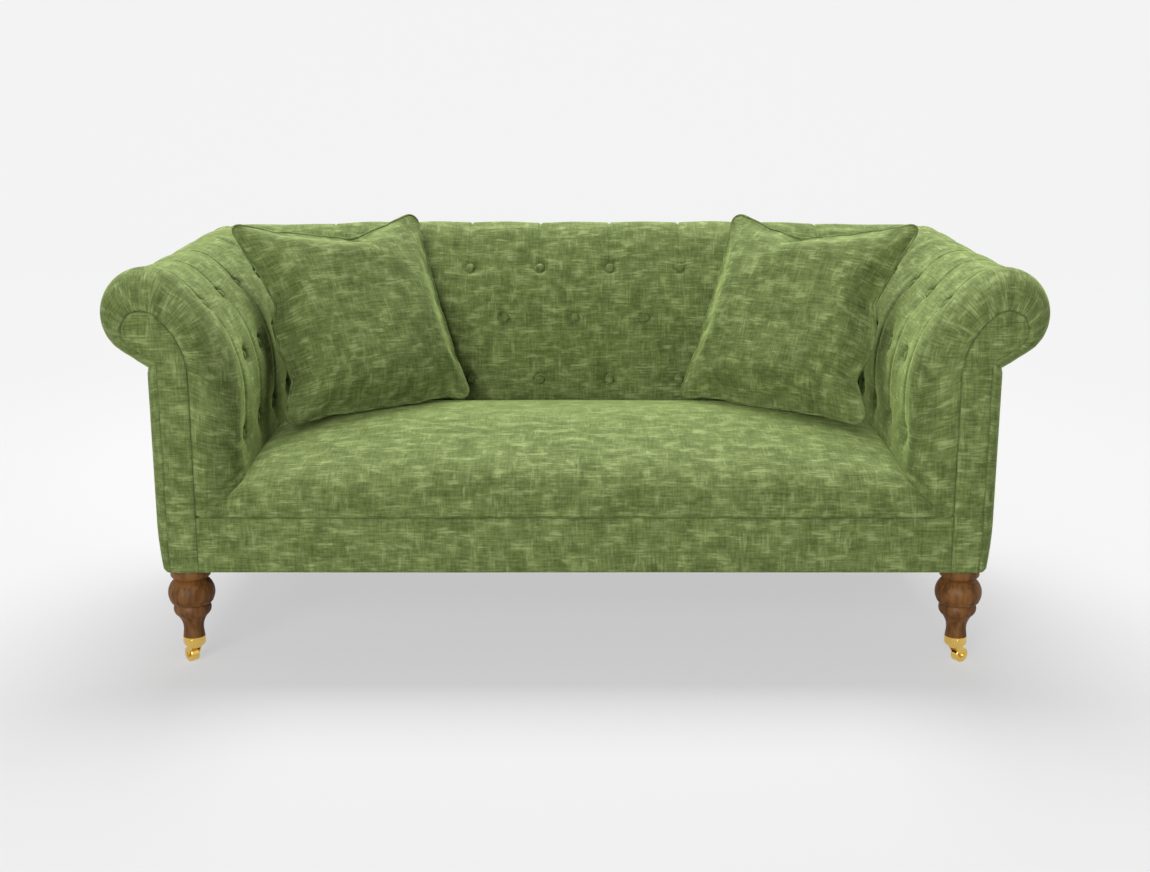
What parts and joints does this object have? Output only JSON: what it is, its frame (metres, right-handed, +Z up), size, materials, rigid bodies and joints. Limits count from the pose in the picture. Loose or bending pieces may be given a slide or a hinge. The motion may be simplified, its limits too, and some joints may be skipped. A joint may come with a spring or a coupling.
{
  "type": "two-seater sofa",
  "caption": "Two-seat sofa with rolled arms and back, buttoned inside, crowned sprung seat, turned front legs on brass swivel castors and loose piped scatter cushions.",
  "frame": {"origin": "floor level, under the middle of the whole sofa in plan", "axes": "+X to the right as seen by someone facing the front, +Y towards the back, +Z up"},
  "size_m": [1.78, 0.88, 0.8415],
  "materials": {
    "cover_fabric": "slub weave, matt",
    "padding": "open foam",
    "webbing": "woven tape",
    "dust_sheet": "thin non-woven",
    "frame_wood": "sawn hardwood",
    "leg_wood": "stained, satin lacquer",
    "brass": "polished",
    "steel": "bright"
  },
  "bodies": {
    "frame": {"seat_cover": "cover_fabric", "front_border": "cover_fabric", "back_cover": "cover_fabric", "arm_cover_left": "cover_fabric", "arm_cover_right": "cover_fabric", "outside_arm_panel_left": "cover_fabric", "outside_arm_panel_right": "cover_fabric", "outside_back_panel": "cover_fabric", "arm_facing_panel_left": "cover_fabric", "arm_facing_panel_right": "cover_fabric", "back_buttons": "cover_fabric", "arm_buttons": "cover_fabric", "seat_pad": "padding", "back_pad": "padding", "arm_pad_left": "padding", "arm_pad_right": "padding", "back_webbing": "webbing", "arm_webbing": "webbing", "seat_insulator": "webbing", "dust_cover": "dust_sheet", "front_seat_rail": "frame_wood", "rear_seat_rail": "frame_wood", "side_seat_rail_left": "frame_wood", "side_seat_rail_right": "frame_wood", "centre_stretcher": "frame_wood", "corner_blocks": "frame_wood", "front_post_left": "frame_wood", "front_post_right": "frame_wood", "rear_post_left": "frame_wood", "rear_post_right": "frame_wood", "back_centre_post": "frame_wood", "arm_facing_board_left": "frame_wood", "arm_facing_board_right": "frame_wood", "arm_scroll_rail_left": "frame_wood", "arm_scroll_rail_right": "frame_wood", "back_scroll_rail": "frame_wood", "arm_stuffing_rails": "frame_wood", "back_stuffing_rail": "frame_wood", "frame_dowels": "frame_wood", "front_leg_left": "leg_wood", "front_leg_right": "leg_wood", "rear_leg_left": "leg_wood", "rear_leg_right": "leg_wood", "castor_cups": "brass", "castor_cup_screws": "brass", "zigzag_springs": "steel", "spring_clips": "steel", "leg_bolts": "steel"},
    "castor_left": {"castor_fork_left": "brass", "castor_axle_left": "brass"},
    "wheel_left": {"castor_wheel_left": "brass"},
    "cushion_left": {"scatter_cover_left": "cover_fabric", "scatter_filling_left": "padding", "scatter_piping_left": "cover_fabric"},
    "castor_right": {"castor_fork_right": "brass", "castor_axle_right": "brass"},
    "wheel_right": {"castor_wheel_right": "brass"},
    "cushion_right": {"scatter_cover_right": "cover_fabric", "scatter_filling_right": "padding", "scatter_piping_right": "cover_fabric"}
  },
  "joints": [
    {"name": "castor_swivel_left", "type": "hinge", "parent": "frame", "child": "castor_left", "pos_m": [-0.7615, -0.3884, 0.045], "axis": [0, 0, 1], "continuous": true},
    {"name": "castor_roll_left", "type": "hinge", "parent": "castor_left", "child": "wheel_left", "pos_m": [-0.7702, -0.37874, 0.0155], "axis": [0.7431, 0.6691, 0], "continuous": true},
    {"name": "cushion_lift_left", "type": "slide", "parent": "frame", "child": "cushion_left", "axis": [0, 0, 1], "range_m": [0, 0.5]},
    {"name": "castor_swivel_right", "type": "hinge", "parent": "frame", "child": "castor_right", "pos_m": [0.7615, -0.3884, 0.045], "axis": [0, 0, 1], "continuous": true},
    {"name": "castor_roll_right", "type": "hinge", "parent": "castor_right", "child": "wheel_right", "pos_m": [0.77253, -0.38151, 0.0155], "axis": [0.5299, -0.848, 0], "continuous": true},
    {"name": "cushion_lift_right", "type": "slide", "parent": "frame", "child": "cushion_right", "axis": [0, 0, 1], "range_m": [0, 0.5]}
  ]
}
